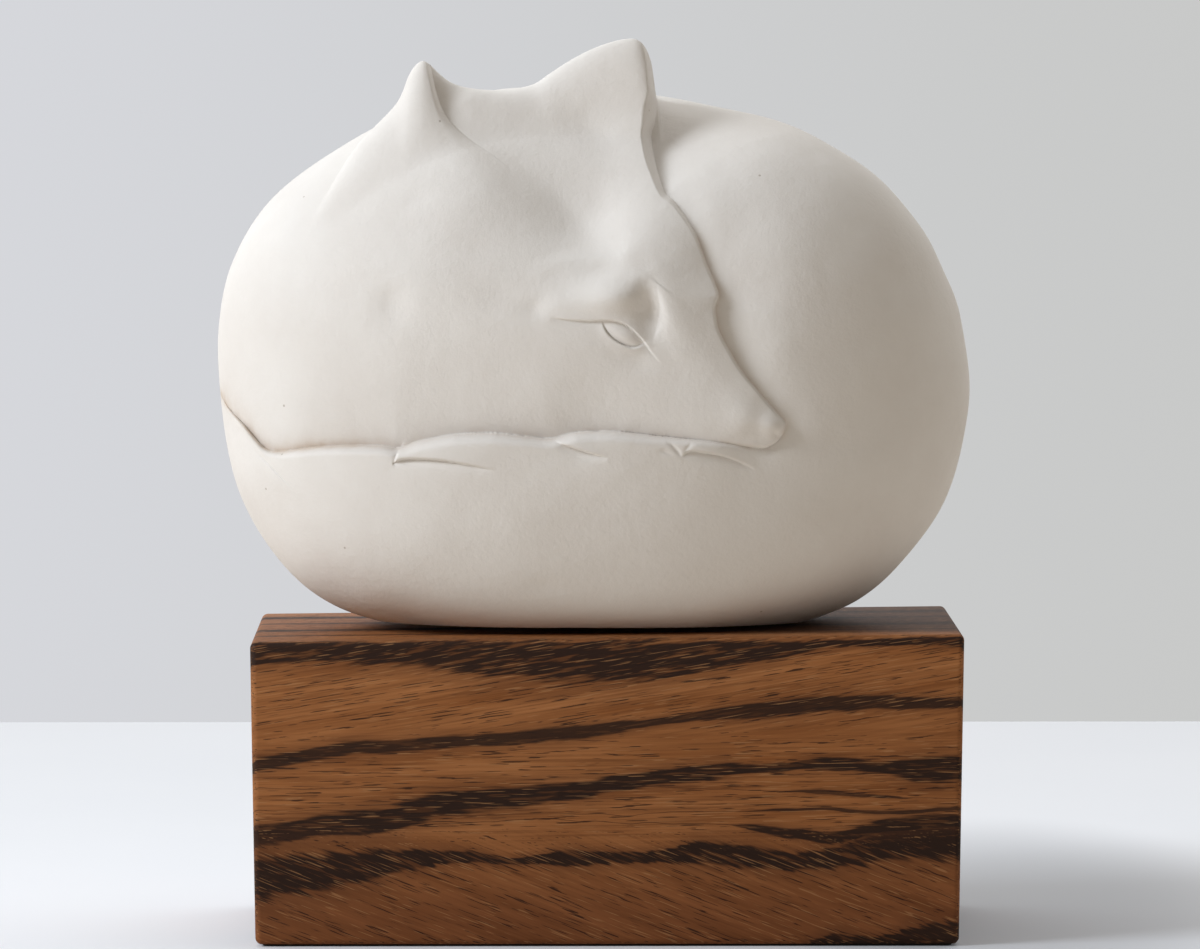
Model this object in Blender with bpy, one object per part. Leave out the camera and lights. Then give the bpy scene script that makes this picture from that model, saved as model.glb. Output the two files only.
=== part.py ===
"""Curled fox figure on a hardwood plinth, as separate pieces that fit one another.

Lengths are metres, +Z is up and the front faces -Y.
The origin is the middle of the underside, and the pin stands on the Z axis.
"""
import math

import bmesh
import bpy
import numpy as np

# Plinth block and the felt sheet under it
PLINTH_LENGTH = 0.150
PLINTH_DEPTH = 0.080
PLINTH_HEIGHT = 0.064
PLINTH_DRAW_IN = 0.0010
PLINTH_EDGE = 0.0013
FELT_THICKNESS = 0.0007
FELT_INSET = 0.0015
FELT_CORNER = 0.0020

# Clearances between pieces
GLUE_GAP = 0.0003
RUNNING_GAP = 0.00008
END_GAP = 0.0010
CUT_OVERSHOOT = 0.0040

# Pin, the bush it stands in and the sleeve that slips over it
PIN_DIAMETER = 0.0080
PIN_CHAMFER = 0.0008
PIN_ABOVE_PLINTH = 0.038
PIN_IN_PLINTH = 0.030
BUSH_WALL = 0.0018
BUSH_FLANGE_WIDTH = 0.0040
BUSH_FLANGE_THICKNESS = 0.0015
SLEEVE_WALL = 0.0016
SLEEVE_CAP = 0.0020

# Felt ring under the foot
WASHER_THICKNESS = 0.0008
WASHER_WIDTH = 0.0060
WASHER_MARGIN = 0.0010

# Ceramic figure
FIGURE_LENGTH = 0.1607
BODY_HEIGHT = 0.1136
FRONT_DEPTH = 0.047
BACK_DEPTH = 0.046
FIGURE_OFFSET = -0.0024
WALL_THICKNESS = 0.0110
FOOT_WALL = 0.0110
POURING_HOLE = 0.0220
PLUG_COVER = 0.0040
PLUMPNESS = 2.25
LIP_ROUND = 0.0036
TIP_ROUND = 0.30
CROWN_SHARE = 0.75
MIDDLE_SHARE = 0.494
SCULPTED_FROM = 0.006
SCULPTED_FADE = 0.016

# Outline of the body without ears, round from the right,
# as shares of half the length and of the body height above the foot
OUTLINE = [
    (1.000, 0.42), (0.975, 0.565), (0.930, 0.654), (0.863, 0.745), (0.731, 0.844),
    (0.542, 0.922), (0.325, 0.963), (0.068, 0.993), (-0.092, 1.000), (-0.262, 0.994),
    (-0.465, 0.962), (-0.669, 0.889), (-0.861, 0.788), (-0.963, 0.669), (-1.000, 0.551),
    (-0.991, 0.404), (-0.951, 0.249), (-0.837, 0.108), (-0.694, 0.027), (-0.517, -0.012),
    (-0.280, -0.040), (0.000, -0.046), (0.280, -0.044), (0.547, -0.008), (0.731, 0.049),
    (0.872, 0.151), (0.954, 0.261),
]

# Sculpted lines on the front. Each row is x and z as shares, then how far the near side
# stands proud of the body and how deep the far side is let in. Each line has the reach of both.
FACE_EDGE = [
    (0.165, 1.140, 0.0050, 0.0060), (0.160, 0.994, 0.0060, 0.0075), (0.150, 0.906, 0.0060, 0.0080),
    (0.181, 0.812, 0.0055, 0.0060), (0.255, 0.749, 0.0045, 0.0036), (0.291, 0.682, 0.0040, 0.0028),
    (0.318, 0.607, 0.0040, 0.0028), (0.328, 0.554, 0.0040, 0.0030), (0.380, 0.485, 0.0035, 0.0030),
    (0.437, 0.434, 0.0030, 0.0030), (0.492, 0.397, 0.0022, 0.0024), (0.502, 0.378, 0.0015, 0.0015),
    (0.490, 0.345, 0.0000, 0.0000),
]
FACE_REACH = (0.042, 0.0060)
TAIL_SEAM = [
    (-1.030, 0.450, 0.0000, 0.0000), (-0.948, 0.409, 0.0012, 0.0012), (-0.860, 0.342, 0.0018, 0.0020),
    (-0.780, 0.336, 0.0018, 0.0022), (-0.635, 0.345, 0.0020, 0.0024), (-0.518, 0.338, 0.0022, 0.0028),
    (-0.364, 0.363, 0.0024, 0.0028), (-0.258, 0.366, 0.0024, 0.0028), (-0.134, 0.357, 0.0022, 0.0026),
    (0.067, 0.370, 0.0022, 0.0026), (0.270, 0.356, 0.0018, 0.0026), (0.440, 0.338, 0.0012, 0.0026),
    (0.474, 0.350, 0.0006, 0.0018), (0.497, 0.378, 0.0000, 0.0000),
]
SEAM_REACH = (0.026, 0.0055)
EAR_FOLD = [
    (-0.428, 1.140, 0.0010, 0.0060), (-0.428, 1.008, 0.0010, 0.0060), (-0.404, 0.965, 0.0012, 0.0056),
    (-0.375, 0.919, 0.0014, 0.0050), (-0.266, 0.843, 0.0012, 0.0036), (-0.164, 0.800, 0.0006, 0.0020),
    (-0.045, 0.721, 0.0000, 0.0000),
]
EAR_REACH = (0.018, 0.0070)

# Soft swellings and hollows of the face: x and z as shares, half width and half height,
# tilt in degrees, height towards the viewer
SWELLINGS = {
    "brow": (0.015, 0.622, 0.0085, 0.0034, 8.0, 0.0024),
    "eye_corner": (0.158, 0.590, 0.0028, 0.0046, -25.0, -0.0024),
    "eyeball": (0.085, 0.553, 0.0042, 0.0026, -18.0, 0.0009),
    "temple_dent": (-0.175, 0.590, 0.0032, 0.0032, 0.0, -0.0010),
    "cheek_dent": (-0.520, 0.590, 0.0036, 0.0040, 0.0, -0.0010),
    "snout": (0.260, 0.470, 0.0130, 0.0075, -35.0, 0.0016),
    "forehead": (0.020, 0.820, 0.0130, 0.0130, 0.0, 0.0014),
    "nose": (0.462, 0.374, 0.0030, 0.0026, 0.0, 0.0012),
}

# Ears pulled up from the crown: x share and y of the middle, reach to the left and to the right,
# half thickness, rise, lean to the right at the tip
EARS = {
    "left": (-0.470, -0.011, 0.0090, 0.0150, 0.0085, 0.0124, 0.0016),
    "right": (0.070, -0.013, 0.0240, 0.0082, 0.0100, 0.0146, 0.0034),
}

SCULPT_CUTS = 95
CAVITY_CUTS = 9
FIGURE_TRIANGLES = 6600
ROUND_STEPS = 40

FELT_TOP = FELT_THICKNESS
PLINTH_FOOT = FELT_TOP + GLUE_GAP
PLINTH_TOP = PLINTH_FOOT + PLINTH_HEIGHT
WASHER_FOOT = PLINTH_TOP + GLUE_GAP
FIGURE_FOOT = WASHER_FOOT + WASHER_THICKNESS + GLUE_GAP
PIN_RADIUS = PIN_DIAMETER / 2
BUSH_BORE = PIN_RADIUS + RUNNING_GAP
BUSH_RADIUS = BUSH_BORE + BUSH_WALL
SLEEVE_BORE = PIN_RADIUS + RUNNING_GAP
SLEEVE_RADIUS = SLEEVE_BORE + SLEEVE_WALL
PIN_TOP = PLINTH_TOP + PIN_ABOVE_PLINTH
PIN_FOOT = PLINTH_TOP - PIN_IN_PLINTH
SLEEVE_TOP = PIN_TOP + END_GAP + SLEEVE_CAP
PLUG_TOP = SLEEVE_TOP + PLUG_COVER
HALF_LENGTH = FIGURE_LENGTH / 2


def clear_scene():
    for item in list(bpy.data.objects):
        bpy.data.objects.remove(item, do_unlink=True)


def collection(name):
    group = bpy.data.collections.new(name)
    bpy.context.scene.collection.children.link(group)
    return group


def material(name, colour, roughness, metallic=0.0):
    surface = bpy.data.materials.new(name)
    surface.use_nodes = True
    shader = surface.node_tree.nodes["Principled BSDF"]
    shader.inputs["Base Color"].default_value = (*colour, 1.0)
    shader.inputs["Roughness"].default_value = roughness
    shader.inputs["Metallic"].default_value = metallic
    return surface


def add_object(name, bm, group, surface=None):
    bmesh.ops.recalc_face_normals(bm, faces=bm.faces)
    mesh = bpy.data.meshes.new(name)
    bm.to_mesh(mesh)
    bm.free()
    item = bpy.data.objects.new(name, mesh)
    group.objects.link(item)
    if surface:
        mesh.materials.append(surface)
    return item


def cutter(name, bm, group):
    item = add_object(name, bm, group)
    item.display_type = "WIRE"
    item.hide_render = True
    return item


def boolean(item, other, operation):
    step = item.modifiers.new(f"{operation.lower()} {other.name}", "BOOLEAN")
    step.operation = operation
    step.solver = "EXACT"
    step.object = other


def lathe(profile, closed):
    """Turn a profile of radius and height pairs about the Z axis."""
    bm = bmesh.new()
    verts = [bm.verts.new((radius, 0.0, height)) for radius, height in profile]
    edges = [bm.edges.new(pair) for pair in zip(verts, verts[1:])]
    if closed:
        edges.append(bm.edges.new((verts[-1], verts[0])))
    bmesh.ops.spin(
        bm, geom=verts + edges, axis=(0, 0, 1), cent=(0, 0, 0),
        angle=math.tau, steps=ROUND_STEPS, use_merge=True,
    )
    bmesh.ops.remove_doubles(bm, verts=bm.verts, dist=1e-6)
    return bm


def rod(radius, foot, top):
    return lathe([(0, foot), (radius, foot), (radius, top), (0, top)], closed=False)


def block(length, depth, foot, top):
    bm = bmesh.new()
    bmesh.ops.create_cube(bm, size=1.0)
    bmesh.ops.scale(bm, vec=(length, depth, top - foot), verts=bm.verts)
    bmesh.ops.translate(bm, vec=(0, 0, (foot + top) / 2), verts=bm.verts)
    return bm


def quad_sphere(cuts):
    """Cube cut into a grid and blown up to a ball of radius one."""
    bm = bmesh.new()
    bmesh.ops.create_cube(bm, size=2.0)
    bmesh.ops.subdivide_edges(bm, edges=bm.edges, cuts=cuts, use_grid_fill=True)
    for vert in bm.verts:
        vert.co = vert.co.normalized()
    return bm


def smooth_curve(rows, per_span, closed=False):
    """Points of a smooth curve through the rows, the same number in each span."""
    rows = np.asarray(rows, dtype=float)
    if closed:
        padded = np.vstack([rows[-1], rows, rows[0], rows[1]])
    else:
        padded = np.vstack([2 * rows[0] - rows[1], rows, 2 * rows[-1] - rows[-2]])
    share = np.linspace(0, 1, per_span, endpoint=False)[:, None]
    spans = []
    for before, start, end, after in zip(padded, padded[1:], padded[2:], padded[3:]):
        bend = 2 * before - 5 * start + 4 * end - after
        twist = 3 * start - before - 3 * end + after
        spans.append(start + 0.5 * share * (end - before + share * (bend + share * twist)))
    points = np.vstack(spans)
    return points if closed else np.vstack([points, rows[-1]])


def outline_radius(angle):
    """Distance from the middle of the body to its outline, by direction."""
    points = smooth_curve(OUTLINE, 8, closed=True)
    x = points[:, 0] * HALF_LENGTH
    z = (points[:, 1] - MIDDLE_SHARE) * BODY_HEIGHT
    turn = np.arctan2(z, x)
    order = np.argsort(turn)
    return np.interp(angle, turn[order], np.hypot(x, z)[order], period=math.tau)


def pebble(ball, inset):
    """Move the points of a unit ball to the smooth body, set in by a wall."""
    angle = np.arctan2(ball[:, 2], ball[:, 0])
    across = np.hypot(ball[:, 0], ball[:, 2]) ** (2 / PLUMPNESS)
    along = np.abs(ball[:, 1]) ** (2 / PLUMPNESS)
    reach = (outline_radius(angle) - inset) * across
    depth = np.where(ball[:, 1] < 0, inset - FRONT_DEPTH, BACK_DEPTH - inset) * along
    height = np.sin(angle) * reach + MIDDLE_SHARE * BODY_HEIGHT
    return np.column_stack([np.cos(angle) * reach, depth, height])


def curve_distance(x, z, curve):
    """Signed distance to a line, over zero to its right, and the values carried along it."""
    rows = smooth_curve(curve, 5)
    points = np.column_stack([rows[:, 0] * HALF_LENGTH, rows[:, 1] * BODY_HEIGHT])
    nearest = np.full(len(x), np.inf)
    signed = np.zeros(len(x))
    carried = np.zeros((len(x), 2))
    for start, end, low, high in zip(points, points[1:], rows, rows[1:]):
        step = end - start
        share = ((x - start[0]) * step[0] + (z - start[1]) * step[1]) / step.dot(step)
        share = np.clip(share, 0, 1)
        away_x = x - start[0] - share * step[0]
        away_z = z - start[1] - share * step[1]
        away = np.hypot(away_x, away_z)
        closer = away < nearest
        side = np.where(step[0] * away_z - step[1] * away_x < 0, 1.0, -1.0)
        nearest = np.where(closer, away, nearest)
        signed = np.where(closer, side * away, signed)
        value = low[2:] + share[:, None] * (high[2:] - low[2:])
        carried = np.where(closer[:, None], value, carried)
    return signed, carried[:, 0], carried[:, 1]


def fold(x, z, curve, reach):
    """Height of a clay fold: a rounded lip on the right of the line, a let-in side on the left."""
    lip_reach, dip_reach = reach
    signed, lip, dip = curve_distance(x, z, curve)
    rounded = np.sqrt(1 - (1 - np.clip(signed / LIP_ROUND, 0, 1)) ** 2)
    proud = (lip * np.exp(-(signed / lip_reach) ** 2) + dip) * rounded - dip
    let_in = -dip * np.exp(np.minimum(signed, 0) / dip_reach)
    return np.where(signed > 0, proud, let_in)


def swelling(x, z, spot):
    share_x, share_z, half_width, half_height, tilt, rise = spot
    turn = math.radians(tilt)
    dx = x - share_x * HALF_LENGTH
    dz = z - share_z * BODY_HEIGHT
    across = (dx * math.cos(turn) + dz * math.sin(turn)) / half_width
    up = (dz * math.cos(turn) - dx * math.sin(turn)) / half_height
    return rise * np.exp(-(across ** 2 + up ** 2))


def pull_ear(points, ear):
    share, middle, left, right, thickness, rise, lean = ear
    dx = points[:, 0] - share * HALF_LENGTH
    dy = points[:, 1] - middle
    away = np.hypot(dx / np.where(dx < 0, left, right), dy / thickness)
    away = np.hypot(away, TIP_ROUND) - TIP_ROUND
    lift = np.clip(1 - away, 0, 1) ** 1.5
    lift = lift * (points[:, 2] > CROWN_SHARE * BODY_HEIGHT)
    points[:, 2] += rise * lift
    points[:, 0] += lean * lift


def sculpt(points):
    """Work the smooth body into the fox and flatten its foot."""
    for ear in EARS.values():
        pull_ear(points, ear)
    x = points[:, 0]
    z = points[:, 2]
    seam = np.array(TAIL_SEAM[:-2])
    seam_height = np.interp(x, seam[:, 0] * HALF_LENGTH, seam[:, 1] * BODY_HEIGHT)
    head = np.clip(1 - (seam_height - z) / LIP_ROUND, 0, 1)
    height = fold(x, z, FACE_EDGE, FACE_REACH) * head
    height = height + fold(x, z, TAIL_SEAM, SEAM_REACH)
    height = height + fold(x, z, EAR_FOLD, EAR_REACH)
    for spot in SWELLINGS.values():
        height = height + swelling(x, z, spot)
    front = np.clip((SCULPTED_FROM - points[:, 1]) / SCULPTED_FADE, 0, 1)
    points[:, 1] -= height * front * front * (3 - 2 * front)
    points[:, 2] = np.maximum(z, 0)
    return points


def body_mesh(cuts, inset, sculpted):
    bm = quad_sphere(cuts)
    points = pebble(np.array([vert.co for vert in bm.verts]), inset)
    points = sculpt(points) if sculpted else points
    for vert, point in zip(bm.verts, points):
        vert.co = (point[0] + FIGURE_OFFSET, point[1], point[2] + FIGURE_FOOT)
    return bm


def hollow_mesh(inset):
    """Smooth form of the hollow, flat above the foot wall."""
    bm = body_mesh(CAVITY_CUTS, inset, sculpted=False)
    floor = FIGURE_FOOT + FOOT_WALL + inset - WALL_THICKNESS
    for vert in bm.verts:
        vert.co.z = max(vert.co.z, floor)
    return bm


def build_plinth(group, cutters):
    bm = block(PLINTH_LENGTH, PLINTH_DEPTH, PLINTH_FOOT, PLINTH_TOP)
    for vert in bm.verts:
        if vert.co.z < PLINTH_HEIGHT / 2:
            vert.co.x -= math.copysign(PLINTH_DRAW_IN, vert.co.x)
    bmesh.ops.bevel(
        bm, geom=bm.edges[:], offset=PLINTH_EDGE, segments=3, profile=0.5, affect="EDGES",
    )
    wood = material("striped hardwood", (0.23, 0.10, 0.045), 0.45)
    plinth = add_object("plinth_block", bm, group, wood)
    bore = lathe([
        (0, PIN_FOOT - GLUE_GAP),
        (BUSH_RADIUS + GLUE_GAP, PIN_FOOT - GLUE_GAP),
        (BUSH_RADIUS + GLUE_GAP, PLINTH_TOP - BUSH_FLANGE_THICKNESS - 2 * GLUE_GAP),
        (BUSH_RADIUS + BUSH_FLANGE_WIDTH + GLUE_GAP, PLINTH_TOP - BUSH_FLANGE_THICKNESS - 2 * GLUE_GAP),
        (BUSH_RADIUS + BUSH_FLANGE_WIDTH + GLUE_GAP, PLINTH_TOP + CUT_OVERSHOOT),
        (0, PLINTH_TOP + CUT_OVERSHOOT),
    ], closed=False)
    boolean(plinth, cutter("bush bore", bore, cutters), "DIFFERENCE")


def build_base_felt(group):
    bm = block(
        PLINTH_LENGTH - 2 * PLINTH_DRAW_IN - 2 * FELT_INSET, PLINTH_DEPTH - 2 * FELT_INSET, 0, FELT_TOP,
    )
    upright = [edge for edge in bm.edges if abs(edge.verts[0].co.z - edge.verts[1].co.z) > FELT_TOP / 2]
    bmesh.ops.bevel(bm, geom=upright, offset=FELT_CORNER, segments=4, profile=0.5, affect="EDGES")
    add_object("base_felt", bm, group, material("dark felt", (0.02, 0.02, 0.02), 0.95))


def build_pin(group):
    bm = lathe([
        (0, PIN_FOOT),
        (PIN_RADIUS - PIN_CHAMFER, PIN_FOOT),
        (PIN_RADIUS, PIN_FOOT + PIN_CHAMFER),
        (PIN_RADIUS, PIN_TOP - PIN_CHAMFER),
        (PIN_RADIUS - PIN_CHAMFER, PIN_TOP),
        (0, PIN_TOP),
    ], closed=False)
    add_object("mounting_pin", bm, group, material("ground steel", (0.55, 0.55, 0.56), 0.3, 1.0))


def build_bush(group, brass):
    flange_top = PLINTH_TOP - GLUE_GAP
    flange_foot = flange_top - BUSH_FLANGE_THICKNESS
    bm = lathe([
        (BUSH_BORE, PIN_FOOT),
        (BUSH_RADIUS, PIN_FOOT),
        (BUSH_RADIUS, flange_foot),
        (BUSH_RADIUS + BUSH_FLANGE_WIDTH, flange_foot),
        (BUSH_RADIUS + BUSH_FLANGE_WIDTH, flange_top),
        (BUSH_BORE, flange_top),
    ], closed=True)
    add_object("pin_bush", bm, group, brass)


def build_sleeve(group, brass):
    inner_top = SLEEVE_TOP - SLEEVE_CAP
    bm = lathe([
        (0, inner_top),
        (SLEEVE_BORE, inner_top),
        (SLEEVE_BORE, FIGURE_FOOT),
        (SLEEVE_RADIUS, FIGURE_FOOT),
        (SLEEVE_RADIUS, SLEEVE_TOP),
        (0, SLEEVE_TOP),
    ], closed=False)
    add_object("socket_sleeve", bm, group, brass)


def build_washer(group):
    inner = POURING_HOLE / 2 + WASHER_MARGIN
    outer = inner + WASHER_WIDTH
    top = WASHER_FOOT + WASHER_THICKNESS
    bm = lathe([(inner, WASHER_FOOT), (outer, WASHER_FOOT), (outer, top), (inner, top)], closed=True)
    add_object("seat_washer", bm, group, material("grey felt", (0.12, 0.11, 0.10), 0.95))


def build_figure(group, cutters):
    bm = body_mesh(SCULPT_CUTS, 0, sculpted=True)
    clay = material("unglazed white ceramic", (0.80, 0.77, 0.73), 0.75)
    figure = add_object("fox_figure", bm, group, clay)
    soften = figure.modifiers.new("soft clay", "SMOOTH")
    soften.factor = 0.5
    soften.iterations = 3
    thin = figure.modifiers.new("fewer faces", "DECIMATE")
    thin.ratio = FIGURE_TRIANGLES / (12 * (SCULPT_CUTS + 1) ** 2)
    hollow = cutter("casting hollow", hollow_mesh(WALL_THICKNESS), cutters)
    boolean(figure, hollow, "DIFFERENCE")
    hole_top = FIGURE_FOOT + FOOT_WALL + CUT_OVERSHOOT
    hole = rod(POURING_HOLE / 2, FIGURE_FOOT - CUT_OVERSHOOT, hole_top)
    boolean(figure, cutter("pouring hole", hole, cutters), "DIFFERENCE")


def build_plug(group, cutters):
    filler = material("cast filler", (0.55, 0.52, 0.46), 0.8)
    neck_top = FIGURE_FOOT + FOOT_WALL + CUT_OVERSHOOT
    plug = add_object("anchor_plug", rod(POURING_HOLE / 2 - GLUE_GAP, FIGURE_FOOT, neck_top), group, filler)
    level = block(FIGURE_LENGTH, FRONT_DEPTH + BACK_DEPTH, FIGURE_FOOT, PLUG_TOP)
    pool = cutter("filler pool", hollow_mesh(WALL_THICKNESS + GLUE_GAP), cutters)
    boolean(pool, cutter("filler level", level, cutters), "INTERSECT")
    boolean(plug, pool, "UNION")
    socket = rod(SLEEVE_RADIUS + GLUE_GAP, FIGURE_FOOT - CUT_OVERSHOOT, SLEEVE_TOP + GLUE_GAP)
    boolean(plug, cutter("sleeve socket", socket, cutters), "DIFFERENCE")


clear_scene()
pieces = collection("curled_fox_figure")
cutting = collection("cutters")
turned_brass = material("turned brass", (0.72, 0.50, 0.20), 0.35, 1.0)
build_plinth(pieces, cutting)
build_base_felt(pieces)
build_bush(pieces, turned_brass)
build_pin(pieces)
build_washer(pieces)
build_figure(pieces, cutting)
build_plug(pieces, cutting)
build_sleeve(pieces, turned_brass)
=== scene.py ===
"""Looks of the curled fox figure: sculpted ceramic, striped hardwood, studio table and camera.

The figure is worked in millimetres: x from its middle, y to the back, z up from its foot.
"""

import math

import bmesh
import bpy
import numpy as np
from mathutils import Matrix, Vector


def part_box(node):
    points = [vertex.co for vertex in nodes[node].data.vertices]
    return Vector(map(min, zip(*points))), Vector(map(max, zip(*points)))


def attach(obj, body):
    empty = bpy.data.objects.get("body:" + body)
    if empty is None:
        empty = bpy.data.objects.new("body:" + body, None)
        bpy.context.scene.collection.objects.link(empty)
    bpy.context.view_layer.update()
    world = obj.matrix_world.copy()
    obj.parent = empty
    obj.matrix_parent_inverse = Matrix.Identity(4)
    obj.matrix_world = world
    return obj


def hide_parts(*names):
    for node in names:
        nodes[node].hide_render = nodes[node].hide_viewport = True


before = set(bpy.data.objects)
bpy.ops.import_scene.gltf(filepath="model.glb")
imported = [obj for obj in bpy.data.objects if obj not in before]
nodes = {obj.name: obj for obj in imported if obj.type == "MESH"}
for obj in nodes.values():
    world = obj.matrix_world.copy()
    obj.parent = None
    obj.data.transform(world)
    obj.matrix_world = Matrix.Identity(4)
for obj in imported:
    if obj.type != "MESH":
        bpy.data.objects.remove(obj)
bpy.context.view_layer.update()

# Sizes that come from the solids
figure_low, figure_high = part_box("fox_figure")
block_low, block_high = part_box("plinth_block")
felt_low, felt_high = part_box("base_felt")
bush_low, bush_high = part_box("pin_bush")
pin_low, pin_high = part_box("mounting_pin")
FIGURE_LENGTH_MM = 160.8
MM = (figure_high.x - figure_low.x) / FIGURE_LENGTH_MM
MIDDLE_X = (figure_high.x + figure_low.x) / 2
FOOT_Z = figure_low.z

# Body of the figure, in millimetres
BODY_HEIGHT = 113.6
MIDDLE_HEIGHT = 56.1
FRONT_DEPTH = 47.0
BACK_DEPTH = 46.0
PLUMPNESS = 2.25
FULL_BELLY = 0.9
WALL = 11.0
FOOT_WALL = 11.0
HOLE_RADIUS = 11.0
HOLE_OVERSHOOT = 4.0
ROUND_SEGMENTS = 64
HOLLOW_CUTS = 23
BALL_CUTS = 119
REFINE_REACH = ((6.0, 2.6, 1.1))
REFINE_FRONT = 4.0

OUTLINE = [
    (80.3, 47.7), (78.3, 64.2), (74.7, 74.3), (69.3, 84.6), (58.7, 95.9),
    (43.5, 104.7), (26.1, 109.4), (5.5, 112.8), (-7.4, 113.6), (-21.1, 112.9),
    (-37.4, 109.3), (-53.8, 101.0), (-69.2, 89.5), (-77.4, 76.0), (-80.3, 62.6),
    (-79.6, 45.9), (-76.4, 28.3), (-67.3, 12.3), (-55.8, 3.1), (-41.5, -1.4),
    (-22.5, -4.5), (0.0, -5.2), (22.5, -5.0), (44.0, -0.9), (58.7, 5.6),
    (70.1, 17.2), (76.7, 29.6),
]

# Folds of the clay. Each row is x, z, how far the lip on the right of the line stands proud,
# how deep the other side is let in, the rounding of the lip, and the reach of lip and dip.
# The edge of the face also has how far it slopes down to the line, and the reach of that slope.
FACE_EDGE = [
    (9.0, 131.0, 0.6, 5.0, 0.9, 30, 20, 0.0, 6.0), (10.6, 124.0, 0.6, 5.0, 0.9, 30, 20, 0.0, 6.0),
    (11.5, 121.0, 0.6, 5.0, 0.9, 30, 20, 0.0, 6.0), (12.3, 115.1, 0.6, 5.2, 1.2, 30, 22, 0.0, 6.0),
    (12.8, 112.8, 0.6, 5.6, 1.7, 30, 24, 0.0, 6.0), (13.1, 109.5, 0.6, 6.6, 2.7, 30, 26, 0.2, 6.0),
    (12.7, 106.2, 0.6, 7.6, 2.6, 30, 26, 0.5, 6.0), (12.0, 103.5, 0.6, 7.8, 2.2, 30, 25, 0.8, 8.0),
    (12.4, 99.9, 0.5, 7.0, 2.1, 30, 23, 1.2, 10.0), (13.2, 96.2, 0.4, 6.0, 1.7, 30, 20, 1.6, 12.0),
    (14.5, 92.0, 0.3, 4.6, 1.2, 30, 17, 2.0, 13.0), (16.4, 90.1, 0.2, 4.2, 0.9, 30, 16, 2.2, 13.0),
    (19.1, 86.4, 0.2, 4.2, 0.7, 30, 15, 2.6, 12.5), (21.3, 82.5, 0.2, 4.2, 0.6, 30, 14, 3.0, 12.0),
    (23.4, 76.9, 0.3, 3.9, 0.6, 30, 13, 3.0, 11.0), (25.0, 73.2, 0.4, 3.5, 0.6, 30, 12, 2.2, 10.0),
    (25.8, 70.6, 0.5, 3.1, 0.6, 30, 11, 1.7, 9.0), (25.1, 68.0, 0.6, 3.0, 0.6, 30, 10, 1.4, 8.5),
    (25.2, 66.1, 0.7, 2.9, 0.6, 30, 9.5, 1.2, 8.0), (25.8, 63.3, 0.8, 2.7, 0.6, 30, 9.0, 1.0, 8.0),
    (28.1, 58.9, 0.9, 2.4, 0.6, 30, 8.0, 0.9, 7.5), (30.6, 54.8, 1.0, 2.0, 0.6, 30, 7.0, 0.8, 7.0),
    (33.8, 51.0, 1.1, 1.4, 0.6, 30, 5.5, 0.6, 6.5), (35.4, 49.0, 1.1, 1.2, 0.6, 30, 5.0, 0.5, 6.0),
    (38.0, 46.2, 1.1, 0.8, 0.7, 30, 4.5, 0.3, 5.0), (39.8, 43.9, 1.0, 0.7, 0.8, 30, 4.0, 0.2, 4.0),
    (39.1, 41.6, 0.8, 0.4, 1.0, 30, 3.5, 0.1, 4.0), (37.1, 39.6, 0.0, 0.0, 1.0, 30, 3.0, 0.0, 4.0),
]
TAIL_SEAM = [
    (-84.0, 54.0, 0.0, 0.0, 1.4, 24, 3.0), (-79.8, 48.1, 0.6, 0.8, 1.2, 24, 2.0),
    (-77.5, 45.1, 1.0, 1.2, 1.0, 24, 2.0), (-74.1, 42.0, 1.2, 1.5, 1.0, 24, 2.5),
    (-70.1, 37.9, 1.4, 1.6, 1.2, 24, 3.5), (-66.9, 37.1, 1.5, 1.7, 1.4, 24, 4.0),
    (-63.3, 37.7, 1.5, 1.8, 1.6, 24, 4.5), (-57.8, 38.5, 1.5, 1.8, 1.8, 24, 5.0),
    (-51.5, 38.9, 1.5, 1.8, 1.8, 24, 5.0), (-45.0, 39.0, 1.5, 1.8, 1.8, 24, 5.0),
    (-41.9, 38.5, 1.5, 1.8, 1.6, 24, 5.0), (-39.8, 38.9, 1.6, 1.8, 1.6, 24, 5.0),
    (-36.7, 40.1, 1.8, 1.8, 1.8, 24, 5.5), (-29.6, 41.5, 2.0, 1.9, 2.0, 24, 5.5),
    (-21.1, 41.8, 2.0, 1.9, 2.0, 24, 5.5), (-11.1, 40.7, 1.8, 1.8, 1.6, 24, 5.0),
    (-8.4, 40.9, 1.8, 1.7, 1.6, 24, 5.0), (-4.4, 42.0, 2.0, 1.6, 1.8, 24, 4.5),
    (0.8, 42.3, 2.0, 1.5, 2.0, 24, 4.5), (5.0, 42.2, 2.0, 1.4, 2.0, 24, 4.5),
    (13.3, 41.3, 1.8, 1.2, 1.8, 24, 4.0), (21.6, 40.5, 1.4, 0.8, 1.6, 24, 3.0),
    (27.9, 39.7, 0.8, 0.4, 1.4, 22, 2.5), (32.1, 39.0, 0.3, 0.1, 1.4, 20, 2.0),
    (35.6, 38.8, 0.0, 0.0, 1.4, 18, 2.0),
]
EAR_FOLD = [
    (-35.6, 126.0, 0.3, 2.4, 0.9, 10, 6.0), (-35.0, 119.6, 0.4, 3.0, 0.9, 10, 6.0),
    (-34.4, 116.5, 0.5, 3.2, 0.9, 10, 6.5), (-33.7, 113.4, 0.5, 3.0, 1.0, 10, 7.0),
    (-32.4, 109.5, 0.4, 2.4, 1.3, 10, 7.0), (-30.4, 106.4, 0.2, 1.5, 1.8, 10, 7.0),
    (-26.6, 103.0, 0.1, 0.8, 2.6, 10, 7.0), (-21.5, 99.6, 0.0, 0.3, 3.4, 10, 7.0),
    (-16.8, 96.0, 0.0, 0.0, 3.4, 10, 7.0),
]
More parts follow.
